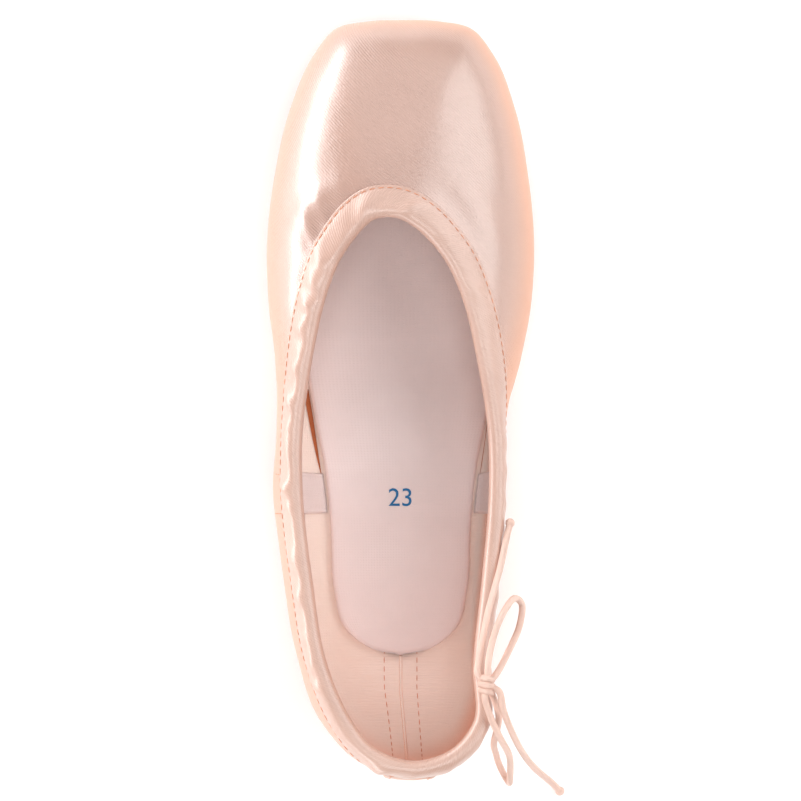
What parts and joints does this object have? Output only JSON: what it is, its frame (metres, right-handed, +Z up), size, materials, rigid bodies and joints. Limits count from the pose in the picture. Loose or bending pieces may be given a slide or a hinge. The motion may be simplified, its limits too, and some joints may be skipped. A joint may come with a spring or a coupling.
{
  "type": "ballet shoe",
  "caption": "Satin pointe shoe standing empty: hollow upper with a stiff box, suede sole and tip, cotton insole, drawstring casing and a tied bow.",
  "frame": {"origin": "on the floor under the middle of the shoe's length and width, the bow's cords left out", "axes": "+Y along the shoe towards the toe, +Z up, +X towards the side on which the bow is tied"},
  "size_m": [0.0904, 0.237, 0.0558],
  "materials": {
    "satin": "satin",
    "casing_satin": "satin",
    "suede": "matte",
    "insole_cotton": "matte",
    "tape_cotton": "matte",
    "cord": "satin"
  },
  "bodies": {
    "root": {"upper": "satin", "heel_strip": "satin", "casing": "casing_satin", "outsole": "suede", "toe_patch": "suede", "insole": "insole_cotton", "seam_tape_left": "tape_cotton", "seam_tape_right": "tape_cotton", "bow_knot": "cord", "bow_loop_front": "cord", "bow_loop_rear": "cord", "bow_end_front": "cord", "bow_end_rear": "cord"}
  },
  "joints": []
}
